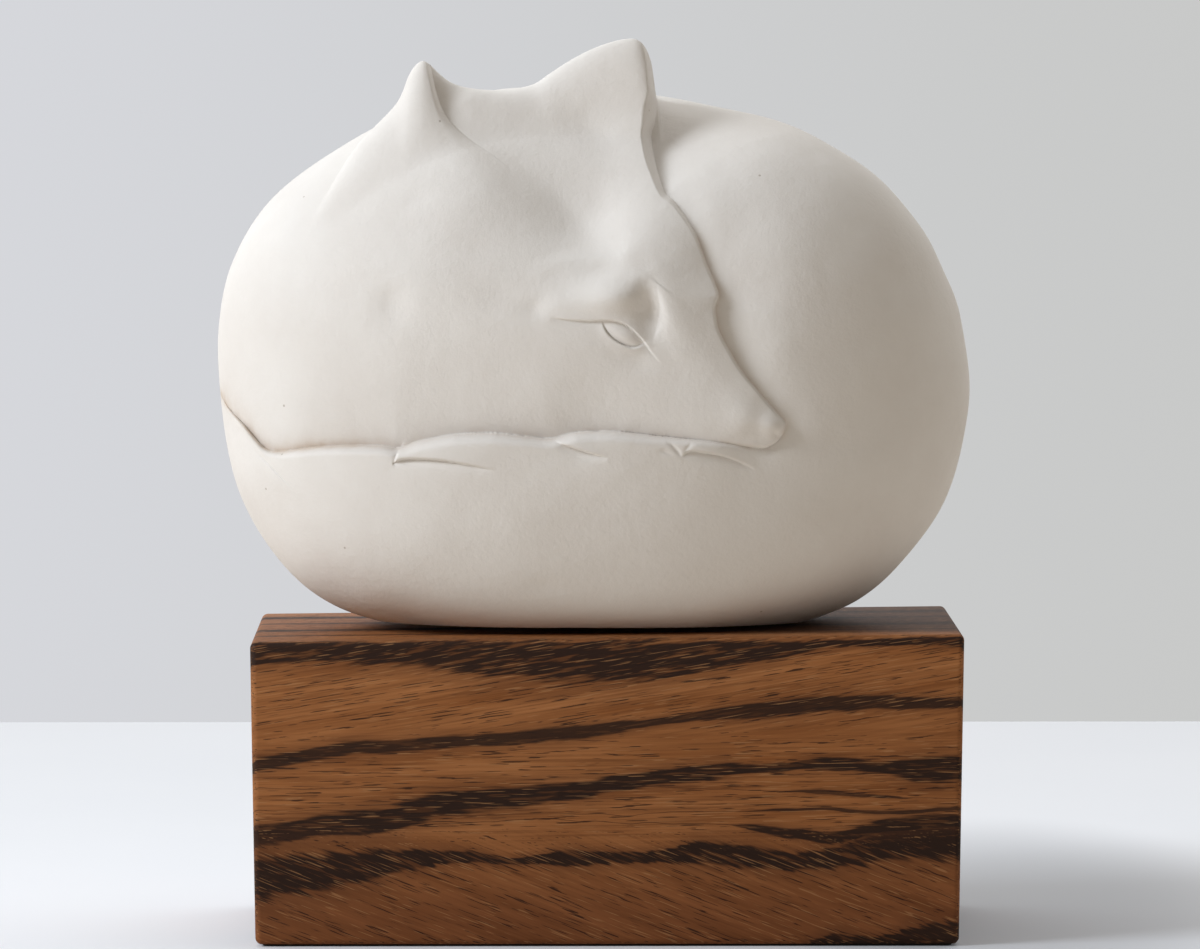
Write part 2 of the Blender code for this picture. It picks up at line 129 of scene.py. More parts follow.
UPPER_LID = [
    (13.6, 56.4, 0.0, 0.0, 0.5, 2.0, 0.6), (11.4, 59.0, 0.10, 0.25, 0.5, 2.0, 0.6),
    (10.0, 60.9, 0.25, 0.60, 0.5, 2.0, 0.6), (8.3, 62.8, 0.35, 0.80, 0.5, 2.0, 0.6),
    (6.2, 64.5, 0.35, 0.85, 0.5, 2.0, 0.6), (3.9, 65.3, 0.30, 0.80, 0.5, 2.0, 0.6),
    (1.4, 65.4, 0.25, 0.70, 0.5, 2.0, 0.7), (-2.1, 65.3, 0.20, 0.60, 0.5, 2.0, 0.8),
    (-6.5, 65.6, 0.12, 0.40, 0.5, 2.0, 0.8), (-9.4, 66.1, 0.0, 0.0, 0.5, 2.0, 0.8),
]
LOWER_LID = [
    (1.3, 65.4, 0.0, 0.1, 0.4, 1.4, 0.5), (2.3, 63.2, 0.18, 0.60, 0.4, 1.4, 0.5),
    (3.9, 61.6, 0.22, 0.70, 0.4, 1.4, 0.5), (6.0, 60.4, 0.24, 0.75, 0.4, 1.4, 0.5),
    (8.1, 60.0, 0.22, 0.70, 0.4, 1.4, 0.5), (10.0, 60.7, 0.0, 0.2, 0.4, 1.4, 0.5),
]
TUFT_LEFT = [
    (-21.0, 34.2, 0.0, 0.0, 0.6, 3.0, 0.9), (-26.7, 35.3, 0.25, 0.7, 0.6, 3.0, 0.9),
    (-31.3, 36.1, 0.40, 1.1, 0.6, 3.0, 1.0), (-35.7, 36.4, 0.45, 1.2, 0.6, 3.0, 1.0),
    (-40.0, 36.3, 0.45, 1.1, 0.6, 3.0, 0.9), (-41.9, 35.7, 0.30, 0.7, 0.6, 2.5, 0.8),
    (-42.6, 35.2, 0.0, 0.0, 0.6, 2.0, 0.8),
]
TUFT_TICK = [
    (-42.2, 35.2, 0.0, 0.0, 0.5, 2.0, 0.7), (-42.0, 36.4, 0.25, 0.8, 0.5, 2.0, 0.7),
    (-41.5, 37.6, 0.25, 0.9, 0.5, 2.0, 0.7), (-40.7, 38.8, 0.0, 0.3, 0.5, 2.0, 0.7),
]
TUFT_MIDDLE = [
    (2.4, 37.0, 0.0, 0.0, 0.6, 2.5, 0.8), (-0.9, 37.7, 0.30, 0.9, 0.6, 2.5, 1.0),
    (-3.4, 38.4, 0.40, 1.3, 0.6, 2.5, 1.1), (-6.3, 39.4, 0.30, 1.0, 0.6, 2.5, 0.9),
    (-8.8, 40.5, 0.0, 0.0, 0.6, 2.5, 0.8),
]
TUFT_RIGHT = [
    (33.5, 34.1, 0.0, 0.0, 0.6, 2.5, 0.7), (29.6, 35.9, 0.25, 0.6, 0.6, 2.5, 0.8),
    (26.2, 37.1, 0.40, 1.0, 0.6, 2.5, 0.9), (22.7, 37.8, 0.40, 1.1, 0.6, 2.5, 0.9),
    (19.6, 38.1, 0.25, 0.8, 0.6, 2.5, 0.8), (17.8, 37.0, 0.0, 0.0, 0.6, 2.0, 0.8),
]
TAIL_TIP = [
    (-72.4, 37.4, 0.0, 0.0, 0.8, 3.0, 1.2), (-69.5, 34.8, 0.10, 0.30, 0.8, 3.0, 1.2),
    (-66.0, 31.5, 0.08, 0.25, 0.8, 3.0, 1.2), (-63.2, 28.8, 0.0, 0.0, 0.8, 3.0, 1.2),
]
NOSE_EDGE = [
    (40.0, 44.8, 0.0, 0.0, 0.7, 3.5, 1.0), (39.8, 42.7, 0.25, 0.6, 0.7, 3.5, 1.0),
    (38.3, 40.4, 0.40, 1.1, 0.7, 3.5, 1.0), (36.5, 39.1, 0.50, 1.4, 0.7, 3.5, 1.0),
    (34.6, 38.7, 0.50, 1.3, 0.7, 3.5, 1.0), (31.8, 39.0, 0.40, 1.0, 0.7, 3.5, 1.0),
    (28.4, 39.6, 0.20, 0.5, 0.7, 3.0, 1.0), (24.5, 40.2, 0.0, 0.0, 0.7, 3.0, 1.0),
]
EYE_CORNER = [
    (11.8, 60.5, 0.0, 0.0, 0.9, 3.0, 1.5), (13.0, 64.8, 0.05, 0.22, 0.9, 3.0, 1.8),
    (13.4, 68.5, 0.06, 0.30, 0.9, 3.0, 1.8), (12.7, 72.5, 0.0, 0.0, 0.9, 3.0, 1.5),
]
CUTS = [
    TAIL_SEAM, EAR_FOLD, NOSE_EDGE, EYE_CORNER, UPPER_LID, LOWER_LID, TUFT_LEFT, TUFT_TICK, TUFT_MIDDLE,
    TUFT_RIGHT, TAIL_TIP,
]
FINE_LINES = [FACE_EDGE] + CUTS
LIP_CURVE = 0.6
MARGIN_IN_REACHES = 2.2
BLEND_NEAR = 0.02
BLEND_POWER = -8.0

# How far the face falls back above the tail, by x, and how high that reaches
FACE_FALL = [(-76, 0.0), (-66, 0.8), (-50, 2.0), (-30, 2.6), (0, 2.4), (12, 1.6), (24, 0.6), (33, 0.0)]
FACE_FALL_REACH = 17.0
TAIL_ROUND = 2.0
HEAD_EDGE = 1.6

# The sculpted front fades out towards the back, from one y over a length
SCULPTED_FROM = 6.0
SCULPTED_FADE = 16.0

# Raised and sunk lines: x, z, rise, width on the right and on the left of the line
BRIDGE = [
    (9.0, 84.0, 0.0, 4.0, 4.0), (12.3, 75.9, 0.3, 3.5, 4.0), (14.3, 71.0, 0.6, 2.4, 4.0),
    (15.7, 66.5, 0.7, 2.2, 4.0), (17.9, 62.4, 0.5, 2.6, 4.0), (21.0, 57.8, 0.3, 3.0, 4.0),
    (26.0, 51.0, 0.0, 3.0, 4.0),
]
BROW_CREASE = [
    (-15.0, 74.5, 0.0, 1.6, 1.3), (-7.1, 77.6, 0.30, 1.6, 1.3), (-1.7, 78.3, 0.34, 1.6, 1.3),
    (5.0, 77.0, 0.0, 1.6, 1.3),
]
NECK_VALLEY = [
    (-31.0, 116.0, 0.0, 4.0, 9.0), (-28.5, 110.0, -1.2, 4.5, 16.0), (-23.5, 104.5, -1.8, 5.0, 20.0),
    (-16.5, 99.5, -2.4, 6.0, 24.0), (-10.0, 94.5, -3.0, 6.5, 28.0), (-5.0, 89.0, -3.6, 6.5, 28.0),
    (-1.0, 85.0, -3.4, 6.5, 22.0), (3.0, 81.5, -1.8, 6.0, 13.0), (6.0, 79.0, 0.0, 5.0, 8.0),
]
NECK_SLOPE = [
    (-26.0, 112.0, -1.0, 14.0, 20.0), (-20.5, 107.0, -3.0, 16.0, 32.0), (-14.0, 102.0, -4.8, 18.0, 42.0),
    (-7.0, 94.0, -6.0, 19.0, 46.0), (-1.0, 87.0, -5.0, 18.0, 36.0), (4.0, 80.0, -2.0, 15.0, 22.0),
    (8.0, 74.0, 0.0, 12.0, 14.0),
]
EAR_BASE = [
    (-9.0, 110.0, 0.0, 3.5, 3.5), (-2.0, 105.5, -0.5, 3.5, 3.5), (3.0, 101.5, -0.4, 3.5, 3.5),
    (8.0, 98.5, 0.0, 3.5, 3.5),
]
TICK_LONG = [(14.6, 40.7, 0.0, 0.4, 0.4), (16.6, 38.8, -0.4, 0.45, 0.45), (18.2, 36.8, 0.0, 0.4, 0.4)]
TICK_SHORT = [(20.4, 40.2, 0.0, 0.4, 0.4), (19.2, 39.2, -0.22, 0.4, 0.4), (18.1, 37.6, 0.0, 0.4, 0.4)]
TICK_LOW = [(12.6, 38.6, 0.0, 0.4, 0.4), (14.4, 38.2, -0.18, 0.4, 0.4), (16.4, 37.4, 0.0, 0.4, 0.4)]
TICKS = [TICK_LONG, TICK_SHORT, TICK_LOW]
RIDGES = [BRIDGE, BROW_CREASE, NECK_VALLEY, NECK_SLOPE, EAR_BASE] + TICKS

# Swellings and hollows: x, z, half width, half height, tilt in degrees, height towards the viewer
SWELLINGS = {
    "brow": (3.6, 70.6, 6.2, 4.2, 6, 2.7),
    "brow_tail": (-5.2, 69.2, 6.0, 3.0, 6, 0.7),
    "eye_hollow": (11.2, 67.6, 2.4, 5.0, 8, -1.7),
    "eyeball": (6.0, 62.8, 3.4, 1.9, -24, 0.55),
    "cheekbone": (-2.0, 60.5, 7.5, 5.0, 0, 0.4),
    "under_eye": (8.5, 57.0, 3.6, 2.6, -20, -0.4),
    "brow_dent": (-12.8, 68.0, 2.8, 2.0, 35, -0.45),
    "brow_shade": (1.2, 75.6, 4.0, 1.5, 8, -0.5),
    "nose": (36.6, 43.1, 2.6, 2.6, 0, 1.2),
    "muzzle": (31.2, 45.0, 4.0, 3.6, -30, 0.8),
    "nostril": (38.0, 41.4, 0.8, 0.7, 0, -0.5),
    "cheek_dent": (-42.3, 68.6, 3.4, 3.8, 0, -0.7),
    "temple": (-20.0, 70.0, 6.0, 4.0, 0, -0.4),
    "haunch_ridge": (24.5, 88.0, 5.0, 11.0, 20, 0.6),
}

# Crest of the head with both ears, x and z, and how far it reaches to the front and to the back
CREST = [
    (-62.0, 82.0), (-55.0, 94.0), (-50.5, 101.0), (-47.0, 105.0), (-42.8, 109.3), (-40.9, 112.2),
    (-39.5, 115.9), (-38.0, 118.3), (-36.4, 119.3),
    (-35.0, 118.6), (-33.3, 116.9), (-30.4, 114.7), (-26.6, 113.6), (-20.0, 113.2), (-13.4, 114.2),
    (-9.5, 116.6), (-5.7, 119.1), (-1.0, 121.7), (3.8, 123.4), (7.6, 124.0), (9.6, 123.4),
    (11.0, 121.6), (12.0, 119.0), (12.6, 115.5), (13.1, 112.0), (14.0, 107.0), (15.6, 84.0),
]
CREST_Y = -17.0
CREST_FRONT = 13.0
CREST_BACK = 12.0
CROWN_SHARE = 0.75
CROWN = CROWN_SHARE * BODY_HEIGHT

# Height of the dark line between the wood and the table
FOOT_LINE = 0.0004

# Soft dents left by the fingers: how many, the seed that places them, their widths as angles and
# their depths. One in three is a bump instead.
DENTS = 90
DENT_SEED = 11
DENT_WIDTHS = (0.025, 0.085)
DENT_DEPTHS = (0.05, 0.22)
DENT_SIGNS = (-1.0, -1.0, 0.6)
UNEVENNESS = 0.09

# Tan dust in the folds: the line, how wide it lies and how much of it
STAINS = [
    (TAIL_SEAM[1:-1], 1.3, 1.0),
    (EAR_FOLD[:4], 1.0, 0.4),
    (FACE_EDGE[13:-1], 0.7, 1.6),
]
STAIN_MARGIN = 8.0
STAIN_ON_LIP = 0.35
STAIN_LEFT_FROM = -35.0
STAIN_LEFT_FADE = 25.0
STAIN_RIGHT_SHARE = 0.35

# Dark stripes of the wood on the front of the plinth, in millimetres: x, z of the middle, half width.
# With each goes its strength, how far light wisps break it up and how ragged its edges are for its width.
WOOD_ROWS_FROM = -76.0
WOOD_ROWS_TO = 76.0
LAYER_SLOPE = 0.75
STRIPE_UPPER = [
    (-75, 37.9, 1.9), (-66, 39.6, 1.4), (-54, 42.0, 1.7), (-42, 42.6, 1.6), (-27, 43.6, 1.4),
    (-11, 44.8, 1.5), (3, 45.9, 1.1), (15, 47.8, 0.9), (24, 49.1, 1.4), (44, 50.8, 1.7),
    (55, 51.6, 1.6), (75, 51.6, 1.1),
]
STRIPE_MIDDLE = [
    (-75, 23.6, 2.6), (-60, 25.3, 2.1), (-49, 26.6, 2.8), (-34, 30.2, 2.6), (-15, 32.1, 2.3),
    (1, 34.4, 1.8), (15, 36.3, 1.7), (24, 37.5, 1.6), (33, 37.8, 0.8), (42, 38.4, 1.2),
    (57, 37.8, 1.4), (67, 37.0, 2.7), (75, 37.5, 2.5),
]
STRIPE_LOWER = [
    (-75, 14.6, 5.0), (-63, 15.8, 4.2), (-49, 17.5, 3.0), (-38, 18.5, 2.0), (-27, 18.6, 1.1),
    (-15, 18.3, 0.9), (-9, 18.3, 1.6), (0, 18.6, 1.3), (10, 19.2, 1.2), (19, 20.0, 2.2),
    (28, 19.2, 2.4), (37, 18.0, 2.0), (46, 18.8, 2.2), (56, 21.0, 3.2), (75, 22.0, 4.0),
]
STRIPE_FEATHER = [
    (-75, 25.0, 0.0), (25, 25.6, 0.0), (31, 25.0, 0.8), (40, 23.8, 1.0), (48, 23.4, 1.3), (56, 25.4, 1.4),
    (64, 26.2, 1.6), (75, 26.4, 1.2),
]
STRIPE_TOP = [
    (-75, 62.2, 2.6), (-57, 62.2, 2.6), (-42, 61.9, 2.9), (-27, 60.9, 3.8), (-7, 60.3, 4.4),
    (8, 60.6, 4.1), (24, 61.8, 2.9), (36, 62.9, 1.8), (53, 64.2, 0.9), (75, 63.7, 1.2),
]
STRIPE_FOOT = [
    (-75, -3, 0.1), (34, -2, 0.1), (48, 0.6, 2.0), (57, 0.8, 1.2), (64, 1.6, 2.4), (75, 2.2, 2.8),
]
WISP_LONG = [(-75, 29, 0.0), (24, 28.4, 0.0), (40, 29.3, 0.35), (59, 28.5, 0.35), (75, 29.2, 0.4)]
WISP_SHORT = [
    (-75, 33, 0.0), (34, 33.0, 0.0), (44, 32.3, 0.35), (56, 31.8, 0.35), (66, 31.4, 0.0), (75, 31, 0.0),
]
RING_FRONT = [(-75, 76, 0.7), (0, 77, 0.9), (75, 78, 0.8)]
RING_MIDDLE = [(-75, 87, 2.0), (0, 88, 1.7), (75, 89, 2.2)]
RING_BACK = [(-75, 101, 0.8), (0, 102, 1.2), (75, 103, 0.9)]
RING_LAST = [(-75, 113, 2.2), (0, 114, 1.6), (75, 115, 2.4)]
WOOD_STRIPES = [
    (STRIPE_UPPER, 0.90, 0.20, 1.3), (STRIPE_MIDDLE, 0.97, 0.30, 1.3), (STRIPE_LOWER, 0.97, 0.50, 1.5),
    (STRIPE_FEATHER, 0.95, 0.4, 1.4), (STRIPE_TOP, 0.96, 0.50, 1.7), (STRIPE_FOOT, 0.95, 0.4, 2.0),
    (WISP_LONG, 0.8, 0.2, 1.0), (WISP_SHORT, 0.8, 0.2, 1.0), (RING_FRONT, 0.85, 0.3, 1.3),
    (RING_MIDDLE, 0.9, 0.4, 1.3), (RING_BACK, 0.85, 0.3, 1.3), (RING_LAST, 0.9, 0.4, 1.3),
]
STRIPE_HEIGHTS = (0, 130)
STRIPE_HALF_WIDTHS = (0, 10)
STRIPE_DARK = (0.017, 0.0075, 0.0050)
STRIPE_HALO = (0.085, 0.031, 0.014)
HALO_SHARE = 0.38
PORE_DARK = (0.020, 0.0085, 0.005)
FLECK_PALE = (0.42, 0.215, 0.095)
# Colour of the painted shade over the top of the plinth behind its front edge, stronger towards the right
TOP_PAINTED_SHADE = (0.050, 0.026, 0.017)

# Fibres of the wood: their slope in degrees, and the heights in metres over which it sets in
FIBRE_BANDS = [(-21, 0.0, 0.0), (1, 0.018, 0.027), (9, 0.040, 0.050)]

# Plinth as it is shown, in metres
FOOT_DRAWN_IN = 0.0010
TOP_TILT = 0.0008
EDGE_ROUND = 0.0014
EDGE_SEGMENTS = 6
SHARP_FROM = 25
FLANGE_CUT = 0.0042
BORE_GAP = 0.0003
BUSH_ROOM = 0.0022

# Table, its painted shade beside the plinth, window and camera
TABLE_WIDTH = 8.0
TABLE_BACK = 0.49
TABLE_FRONT = -4.0
TABLE_SEEN = [(0.3, (0.77, 0.80, 0.86)), (0.7, (0.81, 0.835, 0.89))]
TABLE_BOUNCE = (0.74, 0.68, 0.61)
TABLE_GLOW = (0.70, 0.75, 0.85, 1)
TABLE_GLOW_STRENGTH = 0.05
SHADE_MIDDLE = (0.092, 0.04)
SHADE_REACH = (0.070, 0.20)
SHADE_STRENGTH = 0.40
WALL_LEFT = (0.675, 0.685, 0.720)
WALL_RIGHT = (0.580, 0.585, 0.580)
WALL_FADE = 0.09
ROOM_DARK = (0.118, 0.090, 0.056)
ROOM_BRIGHT = (1.75, 1.73, 1.68)
CEILING_SLOPE = 0.707
WINDOW_SIZE = 0.8
WINDOW_POWER = 28.5
WINDOW_COLOUR = (0.90, 0.95, 1.0)
WINDOW_PLACE = (-1.57, -0.74, 1.06)
WINDOW_AIM = (0, 0, 0.11)
CAMERA_LENS = 251.1
CAMERA_SENSOR = 36
CAMERA_FAR = 100
CAMERA_PLACE = (-0.0166, -1.790, 0.204)
CAMERA_DOWN = 3.42
CAMERA_RIGHT = 0.493


def smooth_curve(rows, per_span, closed=False):
    """Points of a smooth curve through the rows, the same number in each span."""
    rows = np.asarray(rows, dtype=float)
    if closed:
        padded = np.vstack([rows[-1], rows, rows[0], rows[1]])
    else:
        padded = np.vstack([2 * rows[0] - rows[1], rows, 2 * rows[-1] - rows[-2]])
    share = np.linspace(0, 1, per_span, endpoint=False)[:, None]
    spans = []
    for before, start, end, after in zip(padded, padded[1:], padded[2:], padded[3:]):
        bend = 2 * before - 5 * start + 4 * end - after
        twist = 3 * start - before - 3 * end + after
        spans.append(start + 0.5 * share * (end - before + share * (bend + share * twist)))
    points = np.vstack(spans)
    return points if closed else np.vstack([points, rows[-1]])


def outline_radius(angle):
    """Distance from the middle of the body to its outline, by direction."""
    points = smooth_curve(OUTLINE, 24, closed=True)
    x = points[:, 0]
    z = points[:, 1] - MIDDLE_HEIGHT
    turn = np.arctan2(z, x)
    order = np.argsort(turn)
    return np.interp(angle, turn[order], np.hypot(x, z)[order], period=math.tau)


def pebble(ball, inset=0.0):
    """Move the points of a unit ball to the smooth body, set in by a wall."""
    angle = np.arctan2(ball[:, 2], ball[:, 0])
    fullness = PLUMPNESS + FULL_BELLY * np.clip(-np.sin(angle), 0, 1) ** 2
    across = np.hypot(ball[:, 0], ball[:, 2]) ** (2 / fullness)
    along = np.abs(ball[:, 1]) ** (2 / fullness)
    reach = (outline_radius(angle) - inset) * across
    depth = np.where(ball[:, 1] < 0, inset - FRONT_DEPTH, BACK_DEPTH - inset) * along
    return np.column_stack([np.cos(angle) * reach, depth, np.sin(angle) * reach + MIDDLE_HEIGHT])


def follow(x, z, rows):
    """Signed distance to a line, over zero on its right, and the values carried along it.

    Where two parts of the line are about as near, their values are blended.
    """
    rows = smooth_curve(rows, 6)
    nearest = np.full(len(x), np.inf)
    signed = np.zeros(len(x))
    carried = np.zeros((rows.shape[1] - 2, len(x)))
    weights = np.zeros(len(x))
    for low, high in zip(rows, rows[1:]):
        step = high[:2] - low[:2]
        share = ((x - low[0]) * step[0] + (z - low[1]) * step[1]) / step.dot(step)
        share = np.clip(share, 0, 1)
        away_x = x - low[0] - share * step[0]
        away_z = z - low[1] - share * step[1]
        away = np.hypot(away_x, away_z)
        weight = (away + BLEND_NEAR) ** BLEND_POWER
        weights += weight
        for total, start, end in zip(carried, low[2:], high[2:]):
            total += weight * (start + share * (end - start))
        closer = np.nonzero(away < nearest)[0]
        side = np.where(step[0] * away_z - step[1] * away_x < 0, 1.0, -1.0)
        nearest[closer] = away[closer]
        signed[closer] = side[closer] * away[closer]
    return signed, carried / weights


def around(x, z, rows, margin):
    """Indices of the points within a margin of the box round a line."""
    rows = np.asarray(rows)
    low = rows[:, :2].min(axis=0) - margin
    high = rows[:, :2].max(axis=0) + margin
    return np.nonzero((x > low[0]) & (x < high[0]) & (z > low[1]) & (z < high[1]))[0]


def fold(x, z, rows):
    """Height of a clay fold: a rounded lip on the right of the line, a let-in side on the left."""
    height = np.zeros(len(x))
    near = around(x, z, rows, MARGIN_IN_REACHES * max(row[5] for row in rows))
    signed, carried = follow(x[near], z[near], rows)
    lip, dip, rounding, lip_reach, dip_reach = carried[:5]
    along = np.clip(signed / rounding, 0, 1)
    if len(carried) > 5:
        fall, slope_reach = carried[5:]
        rounded = along ** LIP_CURVE
        lip = lip - fall * np.clip(1 - signed / slope_reach, 0, 1) ** 2
        let_in = -dip * np.exp(-(signed / dip_reach) ** 2)
    else:
        rounded = np.sqrt(1 - (1 - along) ** 2)
        let_in = -dip * np.exp(np.minimum(signed, 0) / dip_reach)
    proud = (lip * np.exp(-(signed / lip_reach) ** 2) + dip) * rounded - dip
    height[near] = np.where(signed > 0, proud, let_in)
    return height


def face_fall(x, z, seam_height):
    """The face falls back towards the tail that lies over its lower edge."""
    rows = np.array(FACE_FALL)
    depth = np.interp(x, rows[:, 0], rows[:, 1])
    above = z - seam_height
    over_tail = 1 - np.sqrt(1 - (1 - np.clip(-above / TAIL_ROUND, 0, 1)) ** 2)
    return -depth * np.where(above > 0, np.exp(-np.maximum(above, 0) / FACE_FALL_REACH), over_tail)


def ridge(x, z, rows):
    """Height of a raised or sunk line with a width on its right and one on its left."""
    height = np.zeros(len(x))
    near = around(x, z, rows, MARGIN_IN_REACHES * max(max(row[3:]) for row in rows))
    signed, (rise, right_width, left_width) = follow(x[near], z[near], rows)
    width = np.where(signed > 0, right_width, left_width)
    height[near] = rise * np.exp(-(signed / width) ** 2)
    return height


def swelling(x, z, spot):
    middle_x, middle_z, half_width, half_height, tilt, rise = spot
    turn = math.radians(tilt)
    dx = x - middle_x
    dz = z - middle_z
    across = (dx * math.cos(turn) + dz * math.sin(turn)) / half_width
    up = (dz * math.cos(turn) - dx * math.sin(turn)) / half_height
    return rise * np.exp(-(across ** 2 + up ** 2))


def raise_crest(points):
    """Pull the crown of the head up to the crest line, and so the ears."""
    line = smooth_curve(CREST, 8)
    crest = np.interp(points[:, 0], line[:, 0], line[:, 1], left=0, right=0)
    dy = points[:, 1] - CREST_Y
    away = np.abs(dy) / np.where(dy < 0, CREST_FRONT, CREST_BACK)
    hold = np.cos(np.clip(away, 0, 1) * math.pi / 2) ** 2 * (points[:, 2] > CROWN)
    points[:, 2] += hold * np.maximum(crest - points[:, 2], 0)


def dents(ball):
    """Shallow dents spread over the ball, in millimetres."""
    chance = np.random.RandomState(DENT_SEED)
    middles = chance.normal(size=(DENTS, 3))
    middles /= np.linalg.norm(middles, axis=1)[:, None]
    widths = chance.uniform(*DENT_WIDTHS, DENTS)
    depths = chance.uniform(*DENT_DEPTHS, DENTS) * chance.choice(DENT_SIGNS, DENTS)
    height = np.zeros(len(ball))
    for middle, width, depth in zip(middles, widths, depths):
        height += depth * np.exp((ball @ middle - 1) / (0.5 * width ** 2))
    return height


def unevenness(points):
    """Slow swells of a few hundredths of a millimetre left by the hand."""
    x, y, z = points.T
    waves = np.sin(x / 7.3 + 1.7 * np.sin(z / 11.0)) * np.sin(z / 6.1 + y / 9.0)
    waves += 0.7 * np.sin(x / 3.9 - z / 4.7 + 2.0) * np.sin(z / 8.3 - y / 5.1 + x / 13.0)
    return waves


def sculpt(ball):
    """Fox in millimetres from the points of a unit ball."""
    points = pebble(ball)
    raise_crest(points)
    x = points[:, 0].copy()
    z = points[:, 2].copy()
    seam = np.array(TAIL_SEAM)
    seam_height = np.interp(x, seam[:, 0], seam[:, 1])
    head = np.clip(1 - (seam_height - z) / HEAD_EDGE, 0, 1)
    height = fold(x, z, FACE_EDGE) * head + face_fall(x, z, seam_height)
    for rows in CUTS:
        height += fold(x, z, rows)
    for rows in RIDGES:
        height += ridge(x, z, rows)
    for spot in SWELLINGS.values():
        height += swelling(x, z, spot)
    front = np.clip((SCULPTED_FROM - points[:, 1]) / SCULPTED_FADE, 0, 1)
    points[:, 1] -= height * front * front * (3 - 2 * front)
    points += ball * (UNEVENNESS * unevenness(points) + dents(ball))[:, None]
    points[:, 2] = np.maximum(points[:, 2], 0)
    return points


def ball_points(bm):
    bm.verts.ensure_lookup_table()
    return np.array([vert.co for vert in bm.verts])


def quad_sphere(cuts):
    """Cube cut into a grid and blown up to a ball of radius one."""
    bm = bmesh.new()
    bmesh.ops.create_cube(bm, size=2.0)
    bmesh.ops.subdivide_edges(bm, edges=bm.edges[:], cuts=cuts, use_grid_fill=True)
    for vert in bm.verts:
        vert.co.normalize()
    return bm


def refine(bm, reach):
    """Halve the mesh near the fine lines of the front."""
    points = pebble(ball_points(bm))
    raise_crest(points)
    x, y, z = points.T
    near = np.zeros(len(x), dtype=bool)
    for rows in FINE_LINES + TICKS:
        close = around(x, z, rows, reach)
        signed = follow(x[close], z[close], rows)[0]
        near[close] |= np.abs(signed) < reach
    near &= y < REFINE_FRONT
    edges = [edge for edge in bm.edges if near[edge.verts[0].index] and near[edge.verts[1].index]]
    bmesh.ops.subdivide_edges(bm, edges=edges, cuts=1, use_grid_fill=True)
    for vert in bm.verts:
        vert.co.normalize()


def place(points):
    """Millimetres of the figure to metres of the frame."""
    return points * MM + np.array([MIDDLE_X, 0.0, FOOT_Z])


def mesh_object(name, bm, points=None):
    if points is not None:
        for vert, point in zip(bm.verts, points):
            vert.co = point
    bmesh.ops.recalc_face_normals(bm, faces=bm.faces)
    mesh = bpy.data.meshes.new(name)
    bm.to_mesh(mesh)
    bm.free()
    mesh.polygons.foreach_set("use_smooth", np.ones(len(mesh.polygons), dtype=bool))
    item = bpy.data.objects.new(name, mesh)
    bpy.context.scene.collection.objects.link(item)
    return item


def cut_away(item, other):
    step = item.modifiers.new("cut", "BOOLEAN")
    step.operation = "DIFFERENCE"
    step.solver = "MANIFOLD"
    step.object = other
    graph = bpy.context.evaluated_depsgraph_get()
    cut = bpy.data.meshes.new_from_object(item.evaluated_get(graph))
    item.modifiers.clear()
    item.data = cut
    bpy.data.objects.remove(other, do_unlink=True)


def drill(item, name, radius, depth, height):
    """Cut an upright round hole whose middle is at a height."""
    bm = bmesh.new()
    bmesh.ops.create_cone(
        bm, cap_ends=True, segments=ROUND_SEGMENTS, radius1=radius, radius2=radius, depth=depth,
    )
    bmesh.ops.translate(bm, vec=(0, 0, height), verts=bm.verts)
    cut_away(item, mesh_object(name, bm))


def make_fox():
    bm = quad_sphere(BALL_CUTS)
    for reach in REFINE_REACH:
        refine(bm, reach)
    points = sculpt(ball_points(bm))
    fox = mesh_object("fox_sculpture", bm, place(points))
    bm = quad_sphere(HOLLOW_CUTS)
    points = pebble(ball_points(bm), WALL)
    points[:, 2] = np.maximum(points[:, 2], FOOT_WALL)
    cut_away(fox, mesh_object("hollow", bm, place(points)))
    drill(fox, "hole", HOLE_RADIUS * MM, 2 * (FOOT_WALL + HOLE_OVERSHOOT) * MM, FOOT_Z)
    return fox


def mark_stain(fox):
    """Amount of tan dust in the folds, as a value on each point."""
    mesh = fox.data
    points = np.empty(3 * len(mesh.vertices))
    mesh.vertices.foreach_get("co", points)
    points = (points.reshape(-1, 3) - np.array([MIDDLE_X, 0.0, FOOT_Z])) / MM
    x, y, z = points.T
    stain = np.zeros(len(x))
    for rows, width, amount in STAINS:
        close = around(x, z, rows, STAIN_MARGIN)
        signed = follow(x[close], z[close], rows)[0]
        beside = np.where(signed > 0, signed / (STAIN_ON_LIP * width), -signed / width)
        stain[close] = np.maximum(stain[close], amount * np.exp(-beside))
    left = np.clip((STAIN_LEFT_FROM - x) / STAIN_LEFT_FADE, 0, 1)
    stain = stain * (STAIN_RIGHT_SHARE + (1 - STAIN_RIGHT_SHARE) * left) * (y < SCULPTED_FROM)
    layer = mesh.attributes.new("stain", "FLOAT", "POINT")
    layer.data.foreach_set("value", stain.astype(np.float32))


def add_node(tree, kind, **values):
    made = tree.nodes.new(kind)
    for key, value in values.items():
        if hasattr(made, key):
            setattr(made, key, value)
        else:
            made.inputs[key.replace("_", " ")].default_value = value
    return made


def new_material(name, colour, roughness, metallic=0.0):
    surface = bpy.data.materials.new(name)
    surface.use_nodes = True
    tree = surface.node_tree
    shader = tree.nodes["Principled BSDF"]
    shader.inputs["Base Color"].default_value = (*colour, 1)
    shader.inputs["Roughness"].default_value = roughness
    shader.inputs["Metallic"].default_value = metallic
    return surface, tree, shader


def ramp(tree, source, stops):
    made = tree.nodes.new("ShaderNodeValToRGB")
    band = made.color_ramp
    while len(band.elements) < len(stops):
        band.elements.new(0.5)
    for element, (position, colour) in zip(band.elements, stops):
        element.position = position
        element.color = colour if len(colour) == 4 else (*colour, 1)
    tree.links.new(source, made.inputs["Fac"])
    return made.outputs["Color"]


